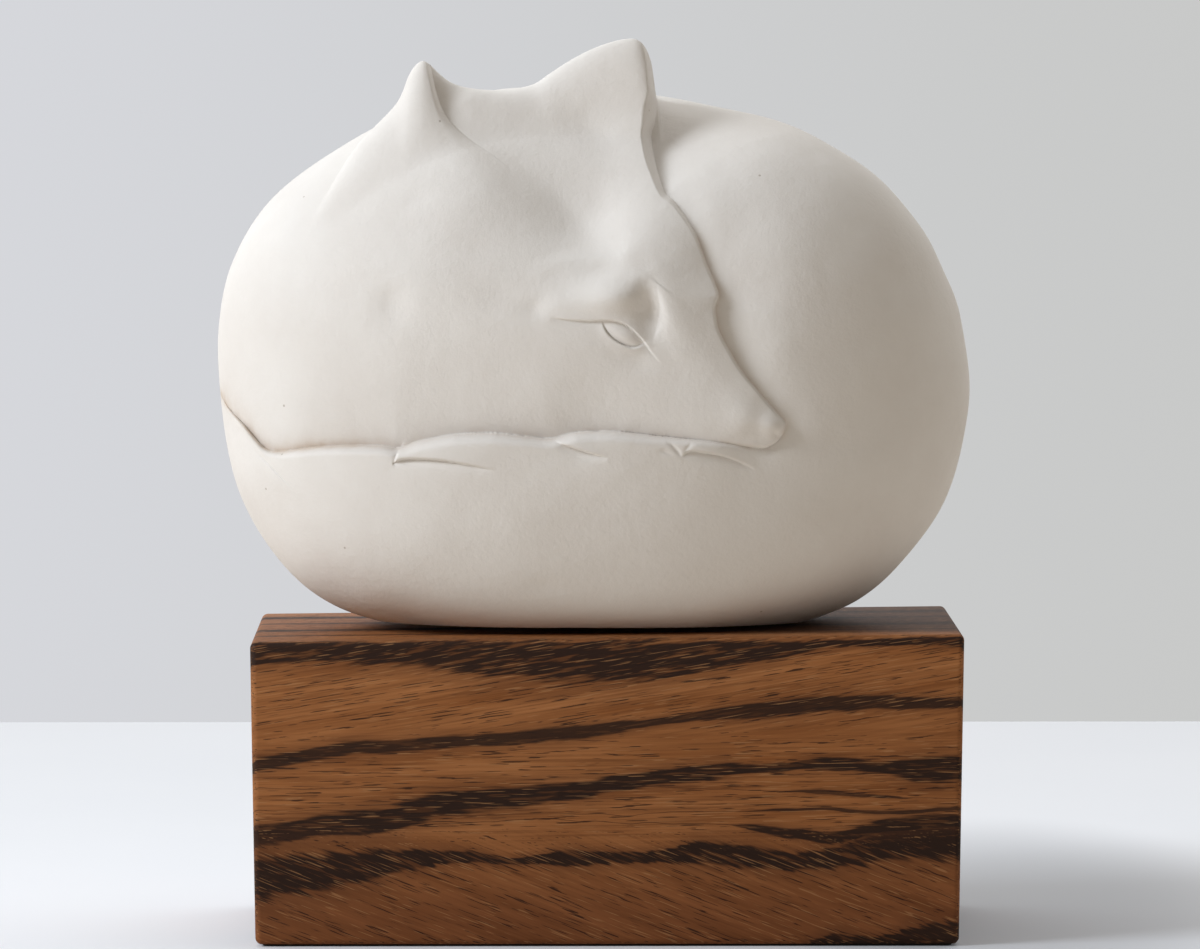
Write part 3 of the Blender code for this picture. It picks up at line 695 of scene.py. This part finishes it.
def mix(tree, factor, first, second, blend="MIX"):
    made = tree.nodes.new("ShaderNodeMix")
    made.data_type = "RGBA"
    made.blend_type = blend
    for socket, value in ((made.inputs[0], factor), (made.inputs[6], first), (made.inputs[7], second)):
        if isinstance(value, bpy.types.NodeSocket):
            tree.links.new(value, socket)
        elif isinstance(value, tuple):
            socket.default_value = (*value, 1)
        else:
            socket.default_value = value
    return made.outputs[2]


def maths(tree, operation, first, second=0.0, third=0.0):
    made = tree.nodes.new("ShaderNodeMath")
    made.operation = operation
    for socket, value in zip(made.inputs, (first, second, third)):
        if isinstance(value, bpy.types.NodeSocket):
            tree.links.new(value, socket)
        else:
            socket.default_value = value
    return made.outputs[0]


def stretch(tree, source, scale, turn=(0, 0, 0), shift=(0, 0, 0)):
    made = add_node(tree, "ShaderNodeMapping", Scale=scale, Rotation=turn, Location=shift)
    tree.links.new(source, made.inputs["Vector"])
    return made.outputs["Vector"]


def noise(tree, source, scale, detail=4.0, roughness=0.55, distortion=0.0):
    made = add_node(
        tree, "ShaderNodeTexNoise", Scale=scale, Detail=detail, Roughness=roughness, Distortion=distortion,
    )
    tree.links.new(source, made.inputs["Vector"])
    return made.outputs["Fac"]


def bump(tree, shader, height, strength, distance):
    made = add_node(tree, "ShaderNodeBump", Strength=strength, Distance=distance)
    tree.links.new(height, made.inputs["Height"])
    tree.links.new(made.outputs["Normal"], shader.inputs["Normal"])


def object_place(tree):
    return tree.nodes.new("ShaderNodeTexCoord").outputs["Object"]


def ceramic_material():
    surface, tree, shader = new_material("unglazed_ceramic", (0.80, 0.77, 0.73), 0.72)
    spot = object_place(tree)
    mottle = noise(tree, spot, 42, 5, 0.6)
    colour = ramp(tree, mottle, [(0.30, (0.785, 0.758, 0.735)), (0.70, (0.835, 0.817, 0.800))])
    stain = add_node(tree, "ShaderNodeAttribute", attribute_name="stain")
    patchy = maths(tree, "MULTIPLY", stain.outputs["Fac"], noise(tree, spot, 260, 3))
    colour = mix(tree, maths(tree, "MULTIPLY", patchy, 1.1), colour, (0.50, 0.36, 0.24))
    pits = add_node(tree, "ShaderNodeTexVoronoi", Scale=210.0, Randomness=1.0)
    tree.links.new(spot, pits.inputs["Vector"])
    pit = maths(tree, "LESS_THAN", pits.outputs["Distance"], 0.055)
    chosen = maths(tree, "GREATER_THAN", pits.outputs["Color"], 0.80)
    pit = maths(tree, "MULTIPLY", pit, chosen)
    colour = mix(tree, maths(tree, "MULTIPLY", pit, 0.55), colour, (0.33, 0.27, 0.22))
    tree.links.new(colour, shader.inputs["Base Color"])
    grain = noise(tree, spot, 1100, 4, 0.65)
    lumps = noise(tree, spot, 260, 3, 0.5)
    height = maths(tree, "MULTIPLY_ADD", lumps, 2.0, maths(tree, "SUBTRACT", grain, pit))
    bump(tree, shader, height, 0.5, 0.00016)
    return surface


def curve_of(tree, source, rows, column, low, high):
    """Value along the plinth that passes through one column of the rows, from low to high."""
    made = tree.nodes.new("ShaderNodeFloatCurve")
    line = made.mapping.curves[0]
    while len(line.points) < len(rows):
        line.points.new(0.5, 0.5)
    for point, row in zip(line.points, rows):
        share = (row[0] - WOOD_ROWS_FROM) / (WOOD_ROWS_TO - WOOD_ROWS_FROM)
        point.location = (share, (row[column] - low) / (high - low))
    made.mapping.update()
    tree.links.new(source, made.inputs["Value"])
    return maths(tree, "MULTIPLY_ADD", made.outputs[0], (high - low) / 1000, low / 1000)


def fade(tree, source, start, end):
    """Soft step from nought at the start to one at the end."""
    made = add_node(tree, "ShaderNodeMapRange", interpolation_type="SMOOTHSTEP")
    made.inputs["From Min"].default_value = start
    made.inputs["From Max"].default_value = end
    tree.links.new(source, made.inputs["Value"])
    return made.outputs["Result"]


def fibres(tree, spot, height, scale, detail, shift):
    """Noise drawn out along fibres that climb at the top of the block and fall at its foot."""
    found = None
    for angle, start, end in FIBRE_BANDS:
        turned = stretch(tree, spot, (1, 1, 1), (0, math.radians(angle), 0))
        drawn = stretch(tree, turned, scale, (0, 0, 0), (shift, shift, shift))
        here = noise(tree, drawn, 1, detail, 0.55)
        if found is None:
            found = here
        else:
            found = mix_values(tree, fade(tree, height, start, end), found, here)
    return found


def mix_values(tree, factor, first, second):
    made = tree.nodes.new("ShaderNodeMix")
    for socket, value in ((made.inputs[0], factor), (made.inputs[2], first), (made.inputs[3], second)):
        tree.links.new(value, socket)
    return made.outputs[0]


def wood_material():
    surface, tree, shader = new_material("striped_hardwood", (0.3, 0.12, 0.04), 0.55)
    shader.inputs["Specular IOR Level"].default_value = 0.15
    spot = object_place(tree)
    split = tree.nodes.new("ShaderNodeSeparateXYZ")
    tree.links.new(spot, split.inputs[0])
    x, y, z = split.outputs
    span = (WOOD_ROWS_TO - WOOD_ROWS_FROM) / 1000
    share = maths(tree, "MULTIPLY_ADD", x, 1 / span, -WOOD_ROWS_FROM / 1000 / span)
    behind = maths(tree, "SUBTRACT", y, block_low.y)
    level = maths(tree, "MULTIPLY_ADD", behind, LAYER_SLOPE, z)
    streak = maths(tree, "SUBTRACT", fibres(tree, spot, z, (60, 700, 1100), 4, 0.0), 0.5)
    wave = maths(tree, "SUBTRACT", noise(tree, stretch(tree, spot, (60, 60, 110)), 1, 2), 0.5)
    drift = maths(tree, "MULTIPLY", wave, 0.0026)

    light = fibres(tree, spot, z, (22, 160, 260), 3, 3.1)
    # The block is darker towards its foot: partly the wood's own tone, partly painted shade
    high = ramp(tree, light, [(0.30, (0.250, 0.090, 0.027)), (0.70, (0.385, 0.160, 0.058))])
    low = ramp(tree, light, [(0.30, (0.165, 0.056, 0.019)), (0.70, (0.255, 0.093, 0.034))])
    colour = mix(tree, fade(tree, z, 0.004, 0.030), low, high)
    fine = fibres(tree, spot, z, (45, 1500, 2300), 4, 7.7)
    shades = [(0.25, (0.50, 0.45, 0.42)), (0.52, (0.95, 0.94, 0.93)), (0.75, (1.2, 1.22, 1.25))]
    shade = ramp(tree, fine, shades)
    grain = maths(tree, "MULTIPLY_ADD", fade(tree, z, 0.012, 0.024), 0.40, 0.45)
    colour = mix(tree, grain, colour, shade, "MULTIPLY")

    wisp = fibres(tree, spot, z, (130, 900, 1500), 2, 5.3)
    for rows, strength, wispy, ragged in WOOD_STRIPES:
        middle = curve_of(tree, share, rows, 1, *STRIPE_HEIGHTS)
        half = curve_of(tree, share, rows, 2, *STRIPE_HALF_WIDTHS)
        tear = maths(tree, "MULTIPLY_ADD", half, ragged, 0.0004)
        here = maths(tree, "ADD", level, maths(tree, "MULTIPLY_ADD", streak, tear, drift))
        away = maths(tree, "ABSOLUTE", maths(tree, "SUBTRACT", here, middle))
        inside = maths(tree, "DIVIDE", away, maths(tree, "MAXIMUM", half, 0.00004))
        halo = maths(tree, "MULTIPLY", fade(tree, inside, 2.6, 0.9), HALO_SHARE * strength)
        colour = mix(tree, halo, colour, STRIPE_HALO)
        stripe = maths(tree, "MULTIPLY", fade(tree, inside, 1.15, 0.75), strength)
        gaps = maths(tree, "MULTIPLY_ADD", fade(tree, wisp, 0.66, 0.52), wispy, 1 - wispy)
        stripe = maths(tree, "MULTIPLY", stripe, gaps)
        colour = mix(tree, stripe, colour, STRIPE_DARK)
    # Painted shade: the top of the block, behind the front edge, darkens towards the right and back
    top_painted_shade = maths(tree, "MULTIPLY", fade(tree, level, 0.068, 0.074), fade(tree, x, -0.02, 0.05))
    colour = mix(tree, maths(tree, "MULTIPLY", top_painted_shade, 0.72), colour, TOP_PAINTED_SHADE)

    fleck = fade(tree, fibres(tree, spot, z, (130, 2000, 3000), 1, 1.9), 0.62, 0.68)
    colour = mix(tree, maths(tree, "MULTIPLY", fleck, 0.50), colour, FLECK_PALE)
    pore = fade(tree, fibres(tree, spot, z, (150, 2600, 3600), 1, 9.4), 0.63, 0.67)
    colour = mix(tree, maths(tree, "MULTIPLY", pore, 0.85), colour, PORE_DARK)
    tree.links.new(colour, shader.inputs["Base Color"])
    relief = maths(tree, "MULTIPLY_ADD", pore, -1.0, maths(tree, "MULTIPLY", fine, 0.25))
    bump(tree, shader, relief, 0.35, 0.0002)
    return surface


def felt_material(name, colour):
    surface, tree, shader = new_material(name, colour, 0.95)
    fuzz = noise(tree, object_place(tree), 2600, 5, 0.7)
    low = tuple(0.6 * part for part in colour)
    high = tuple(1.4 * part for part in colour)
    tree.links.new(ramp(tree, fuzz, [(0.3, low), (0.7, high)]), shader.inputs["Base Color"])
    bump(tree, shader, fuzz, 0.6, 0.0002)
    return surface


def metal_material(name, colour, roughness):
    surface, tree, shader = new_material(name, colour, roughness, 1.0)
    turned = noise(tree, stretch(tree, object_place(tree), (120, 120, 6000)), 1, 3)
    low = tuple(0.85 * part for part in colour)
    tree.links.new(ramp(tree, turned, [(0.3, low), (0.7, colour)]), shader.inputs["Base Color"])
    bump(tree, shader, turned, 0.15, 0.00005)
    return surface


def filler_material():
    surface, tree, shader = new_material("cast_filler", (0.5, 0.47, 0.42), 0.85)
    grit = noise(tree, object_place(tree), 700, 5, 0.7)
    colour = ramp(tree, grit, [(0.3, (0.40, 0.37, 0.32)), (0.7, (0.58, 0.55, 0.49))])
    tree.links.new(colour, shader.inputs["Base Color"])
    bump(tree, shader, grit, 0.4, 0.0003)
    return surface


def dress(item, surface):
    item.data.materials.clear()
    item.data.materials.append(surface)


def make_plinth():
    """Block with soft edges, a bore for the bush and a recess for the felt."""
    length = block_high.x - block_low.x
    depth = block_high.y - block_low.y
    foot = felt_low.z + FOOT_LINE
    bm = bmesh.new()
    bmesh.ops.create_cube(bm, size=1.0)
    for vert in bm.verts:
        top = vert.co.z > 0
        drawn_in = 0.0 if top else FOOT_DRAWN_IN
        lift = math.copysign(TOP_TILT, vert.co.x) if top else 0.0
        vert.co.x = vert.co.x * length - math.copysign(drawn_in, vert.co.x)
        vert.co.y = vert.co.y * depth
        vert.co.z = block_high.z + lift if top else foot
    bmesh.ops.bevel(
        bm, geom=bm.edges[:], offset=EDGE_ROUND, segments=EDGE_SEGMENTS, profile=0.5, affect="EDGES",
    )
    block = mesh_object("plinth_wood", bm)
    drill(block, "flange_recess", (bush_high.x - bush_low.x) / 2 + BORE_GAP, FLANGE_CUT, block_high.z)
    deep = block_high.z - pin_low.z + BORE_GAP
    drill(block, "bush_bore", (pin_high.x - pin_low.x) / 2 + BUSH_ROOM, 2 * deep, block_high.z)
    bm = bmesh.new()
    bmesh.ops.create_cube(bm, size=1.0)
    clear = block_low.z - felt_high.z
    room = felt_high - felt_low + 2 * clear * Vector((1, 1, 1))
    bmesh.ops.scale(bm, vec=room, verts=bm.verts)
    bmesh.ops.translate(bm, vec=(felt_low + felt_high) / 2, verts=bm.verts)
    cut_away(block, mesh_object("felt_recess", bm))
    block.data.set_sharp_from_angle(angle=math.radians(SHARP_FROM))
    return block


def make_stage():
    bm = bmesh.new()
    bmesh.ops.create_grid(bm, x_segments=1, y_segments=1, size=0.5)
    for vert in bm.verts:
        vert.co.x *= TABLE_WIDTH
        vert.co.y = TABLE_BACK if vert.co.y > 0 else TABLE_FRONT
    table = mesh_object("table", bm)
    surface, tree, shader = new_material("white_table", (0.5, 0.47, 0.43), 0.7)
    shader.inputs["Specular IOR Level"].default_value = 0.1
    path = tree.nodes.new("ShaderNodeLightPath")
    faint = noise(tree, object_place(tree), 3, 3)
    seen = ramp(tree, faint, TABLE_SEEN)
    split = tree.nodes.new("ShaderNodeSeparateXYZ")
    tree.links.new(object_place(tree), split.inputs[0])
    away = 0.0
    for place_along, middle, reach in zip(split.outputs, SHADE_MIDDLE, SHADE_REACH):
        share = maths(tree, "DIVIDE", maths(tree, "SUBTRACT", place_along, middle), reach)
        away = maths(tree, "ADD", maths(tree, "POWER", share, 2.0), away)
    shade = maths(tree, "MULTIPLY", fade(tree, away, 1.0, 0.0), SHADE_STRENGTH)
    seen = mix(tree, shade, seen, (0.0, 0.0, 0.0))
    colour = mix(tree, path.outputs["Is Camera Ray"], TABLE_BOUNCE, seen)
    tree.links.new(colour, shader.inputs["Base Color"])
    shader.inputs["Emission Color"].default_value = TABLE_GLOW
    lift = maths(tree, "MULTIPLY", path.outputs["Is Camera Ray"], TABLE_GLOW_STRENGTH)
    tree.links.new(lift, shader.inputs["Emission Strength"])
    dress(table, surface)


def make_light():
    world = bpy.data.worlds.new("studio")
    bpy.context.scene.world = world
    world.use_nodes = True
    tree = world.node_tree
    tree.nodes.clear()
    out = tree.nodes.new("ShaderNodeOutputWorld")
    direction = tree.nodes.new("ShaderNodeTexCoord")
    split = tree.nodes.new("ShaderNodeSeparateXYZ")
    tree.links.new(direction.outputs["Generated"], split.inputs[0])
    wall = mix(tree, fade(tree, split.outputs[0], -WALL_FADE, WALL_FADE), WALL_LEFT, WALL_RIGHT)
    seen = add_node(tree, "ShaderNodeBackground", Strength=1.0)
    tree.links.new(wall, seen.inputs["Color"])
    back_up = maths(tree, "MULTIPLY", maths(tree, "ADD", split.outputs[1], split.outputs[2]), CEILING_SLOPE)
    ceiling = maths(tree, "POWER", maths(tree, "MAXIMUM", back_up, 0.0), 2.0)
    room = mix(tree, ceiling, ROOM_DARK, ROOM_BRIGHT)
    fill = add_node(tree, "ShaderNodeBackground", Strength=1.0)
    tree.links.new(room, fill.inputs["Color"])
    chosen = tree.nodes.new("ShaderNodeMixShader")
    path = tree.nodes.new("ShaderNodeLightPath")
    shown = maths(tree, "MAXIMUM", path.outputs["Is Camera Ray"], path.outputs["Is Glossy Ray"])
    tree.links.new(shown, chosen.inputs[0])
    tree.links.new(fill.outputs[0], chosen.inputs[1])
    tree.links.new(seen.outputs[0], chosen.inputs[2])
    tree.links.new(chosen.outputs[0], out.inputs[0])
    lamp = bpy.data.lights.new("window", "AREA")
    lamp.size = WINDOW_SIZE
    lamp.energy = WINDOW_POWER
    lamp.color = WINDOW_COLOUR
    window = bpy.data.objects.new("window", lamp)
    window.location = WINDOW_PLACE
    bpy.context.scene.collection.objects.link(window)
    aim(window, WINDOW_AIM)


def aim(item, target):
    direction = Vector(target) - item.location
    item.rotation_euler = direction.to_track_quat("-Z", "Y").to_euler()


def make_camera():
    data = bpy.data.cameras.new("photo_camera")
    data.lens = CAMERA_LENS
    data.sensor_width = CAMERA_SENSOR
    data.clip_end = CAMERA_FAR
    camera = bpy.data.objects.new("photo_camera", data)
    camera.location = CAMERA_PLACE
    camera.rotation_euler = (math.radians(90 - CAMERA_DOWN), 0, math.radians(-CAMERA_RIGHT))
    bpy.context.scene.collection.objects.link(camera)
    bpy.context.scene.camera = camera


bpy.context.scene.view_settings.view_transform = "Standard"
make_camera()
make_light()
make_stage()

fox = make_fox()
mark_stain(fox)
dress(fox, ceramic_material())
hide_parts("fox_figure")
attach(fox, "figure")

plinth = make_plinth()
dress(plinth, wood_material())
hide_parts("plinth_block")
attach(plinth, "plinth")

brass = metal_material("turned_brass", (0.72, 0.50, 0.20), 0.35)
dress(nodes["pin_bush"], brass)
dress(nodes["socket_sleeve"], brass)
dress(nodes["mounting_pin"], metal_material("ground_steel", (0.55, 0.55, 0.56), 0.3))
dress(nodes["base_felt"], felt_material("dark_felt", (0.02, 0.02, 0.02)))
dress(nodes["seat_washer"], felt_material("grey_felt", (0.030, 0.028, 0.026)))
dress(nodes["anchor_plug"], filler_material())
